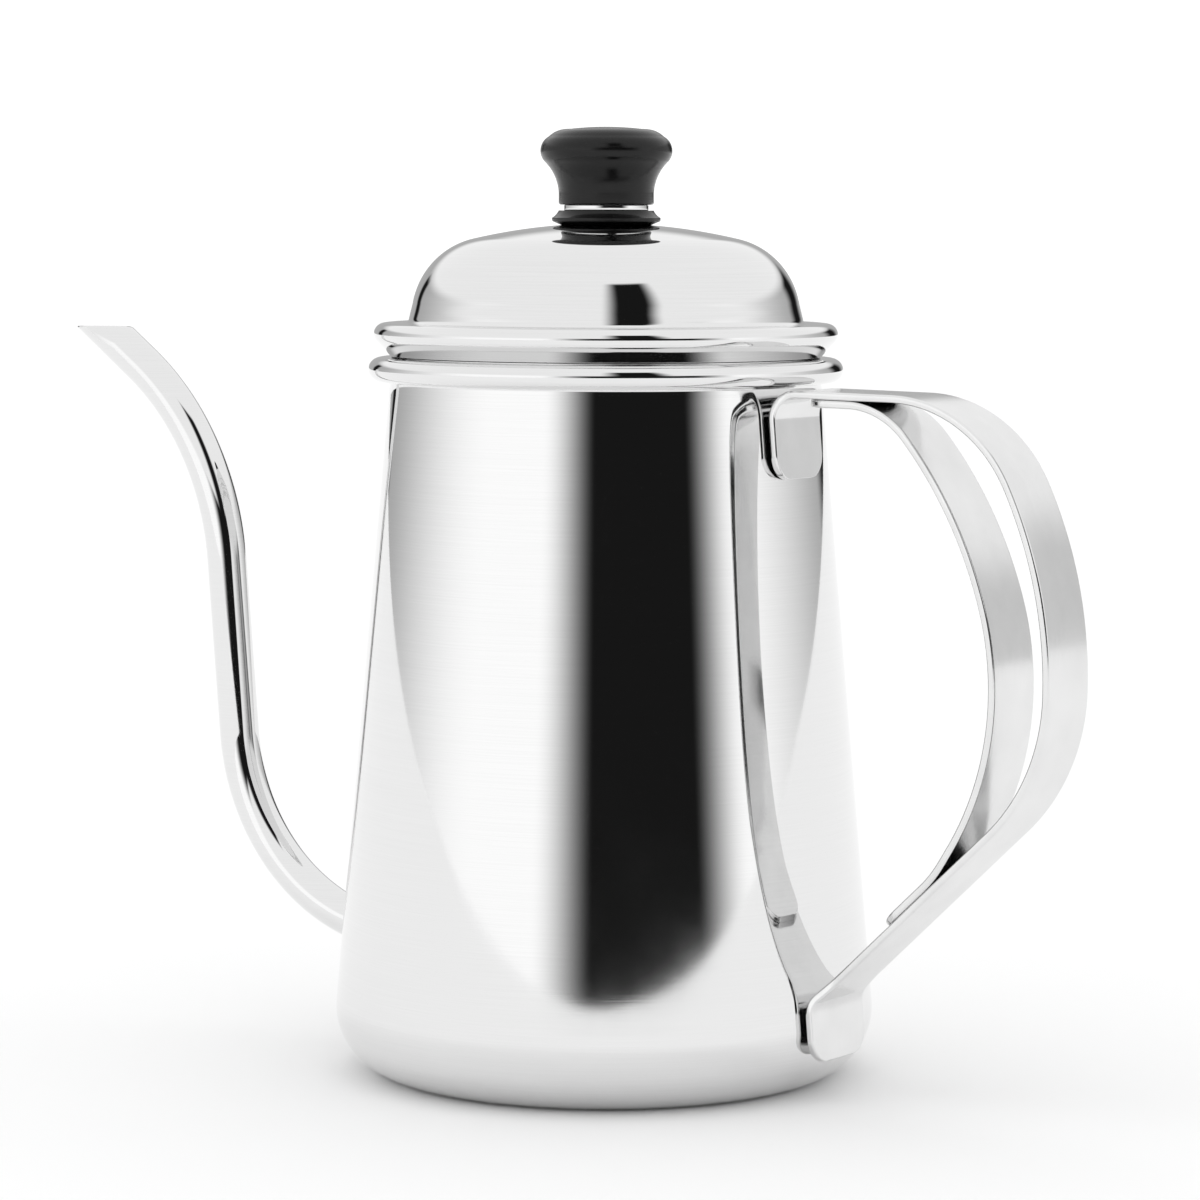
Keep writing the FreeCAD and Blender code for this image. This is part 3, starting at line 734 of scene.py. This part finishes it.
# ------------------------------------------------------------------------------- carried-over CAD
def dress_cad_nodes():
    """Finishes for the CAD pieces that show as they are: bottom disc, skirt and knob fixings."""
    finishes = {"base_pan": underside, "lid_skirt": steel, "knob_insert": brass,
                "knob_washer": zinc, "knob_screw": zinc}
    for node, material in finishes.items():
        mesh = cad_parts[node].data
        mesh.materials.clear()
        mesh.materials.append(material)


# ------------------------------------------------------------------------------- studio and view
VIEW_AZIMUTH = 34.5
VIEW_DISTANCE = 864 * MM
VIEW_HEIGHT = 167.3 * MM
VIEW_PITCH = 5.02
VIEW_ROLL = 0.15
LENS = 135.0
SENSOR = 36.0
VIEW_SHIFT = 1.0 * MM
FLOOR_HALF = 6.0


def make_camera():
    angle = math.radians(VIEW_AZIMUTH)
    data = bpy.data.cameras.new("camera")
    data.lens = LENS
    data.sensor_width = SENSOR
    data.clip_start = 0.05
    camera = bpy.data.objects.new("camera", data)
    right = Vector((math.cos(angle), math.sin(angle), 0))
    back = Vector((math.sin(angle), -math.cos(angle), 0))
    camera.location = back * VIEW_DISTANCE - right * VIEW_SHIFT + Vector((0, 0, VIEW_HEIGHT))
    roll = math.radians(VIEW_ROLL)
    tilt = Euler((math.radians(90 - VIEW_PITCH), 0, angle), "XYZ").to_matrix()
    camera.rotation_euler = (tilt @ Euler((0, 0, roll)).to_matrix()).to_euler()
    bpy.context.scene.collection.objects.link(camera)
    bpy.context.scene.camera = camera


def make_floor():
    mesh = bpy.data.meshes.new("floor")
    corners = [(-FLOOR_HALF, -FLOOR_HALF, 0), (FLOOR_HALF, -FLOOR_HALF, 0),
               (FLOOR_HALF, FLOOR_HALF, 0), (-FLOOR_HALF, FLOOR_HALF, 0)]
    mesh.from_pydata(corners, [], [(0, 1, 2, 3)])
    floor = bpy.data.objects.new("floor", mesh)
    floor.location.z = cad_box[0][2]
    bpy.context.scene.collection.objects.link(floor)
    material, _, shader = new_material("floor", 0.0, 0.6, (0.93, 0.93, 0.93))
    shader.inputs["Specular IOR Level"].default_value = 0.0
    mesh.materials.append(material)


# Brightness of the studio's plain walls and ceiling. White is 1.
SIDE_WALLS = 1.2
BACK_WALL = 0.45
BACK_FROM, BACK_TO = 60.0, 150.0
CEILING = 1.0
CEILING_STARTS = 16.0
# Dark cards in the tent, as (middle, half width, bottom, top, softness of the sides): degrees right
# of the front, and up.
CARDS = [(18.0, 37.0, -90.0, 15.0, 14.0), (16.0, 14.0, 15.0, 50.0, 6.0), (-150.0, 4.0, -5.0, 12.0, 2.0),
         (152.0, 9.0, -90.0, 12.0, 6.0)]
CARD_BRIGHTNESS = 0.01
CARD_EDGE = 4.0
# What the lens and the floor see in place of the cards.
PLAIN_WHITE = 1.16


def make_studio():
    """White tent all round, greyer behind, with plain dark cards in front and at the back."""
    world = bpy.data.worlds.new("studio")
    bpy.context.scene.world = world
    world.use_nodes = True
    nodes, links = world.node_tree.nodes, world.node_tree.links
    nodes.clear()

    def math_node(operation, *values):
        node = nodes.new("ShaderNodeMath")
        node.operation = operation
        for index, value in enumerate(values):
            if hasattr(value, "links"):
                links.new(value, node.inputs[index])
            else:
                node.inputs[index].default_value = value
        return node.outputs[0]

    def fade(value, start, end):
        node = nodes.new("ShaderNodeMapRange")
        node.interpolation_type = "SMOOTHSTEP"
        node.inputs["From Min"].default_value = start
        node.inputs["From Max"].default_value = end
        links.new(value, node.inputs["Value"])
        return node.outputs["Result"]

    def mix(factor, a, b):
        return math_node("ADD", math_node("MULTIPLY", math_node("SUBTRACT", 1.0, factor), a),
                         math_node("MULTIPLY", factor, b))

    coordinates = nodes.new("ShaderNodeTexCoord")
    turn = nodes.new("ShaderNodeMapping")
    turn.inputs["Rotation"].default_value = (0, 0, -math.radians(VIEW_AZIMUTH))
    split = nodes.new("ShaderNodeSeparateXYZ")
    links.new(coordinates.outputs["Generated"], turn.inputs["Vector"])
    links.new(turn.outputs["Vector"], split.inputs["Vector"])
    x, y, z = split.outputs
    azimuth = math_node("MULTIPLY", math_node("ARCTAN2", x, math_node("MULTIPLY", y, -1.0)), 180 / math.pi)
    elevation = math_node("MULTIPLY", math_node("ARCSINE", z), 180 / math.pi)

    brightness = mix(fade(math_node("ABSOLUTE", azimuth), BACK_FROM, BACK_TO), SIDE_WALLS, BACK_WALL)
    overhead = fade(elevation, CEILING_STARTS - CARD_EDGE, CEILING_STARTS + CARD_EDGE)
    brightness = mix(overhead, brightness, CEILING)
    for middle, half_width, bottom, top, soft in CARDS:
        away = math_node("ABSOLUTE", math_node("SUBTRACT", azimuth, middle))
        across = fade(away, half_width + soft, half_width - soft)
        tall = math_node("MULTIPLY", fade(elevation, bottom - CARD_EDGE, bottom),
                         fade(elevation, top + CARD_EDGE, top))
        brightness = mix(math_node("MULTIPLY", across, tall), brightness, CARD_BRIGHTNESS)

    rays = nodes.new("ShaderNodeLightPath")
    seen = math_node("MAXIMUM", rays.outputs["Is Camera Ray"], rays.outputs["Is Diffuse Ray"])
    brightness = mix(seen, brightness, PLAIN_WHITE)
    background = nodes.new("ShaderNodeBackground")
    output = nodes.new("ShaderNodeOutputWorld")
    links.new(brightness, background.inputs["Strength"])
    links.new(background.outputs["Background"], output.inputs["Surface"])
    background.inputs["Color"].default_value = (1, 1, 1, 1)
    bpy.context.scene.view_settings.view_transform = "Standard"


make_camera()
make_floor()
make_studio()
make_vessel()
make_spout()
make_outer_strap()
make_inner_strap()
make_lid()
make_knob()
dress_cad_nodes()
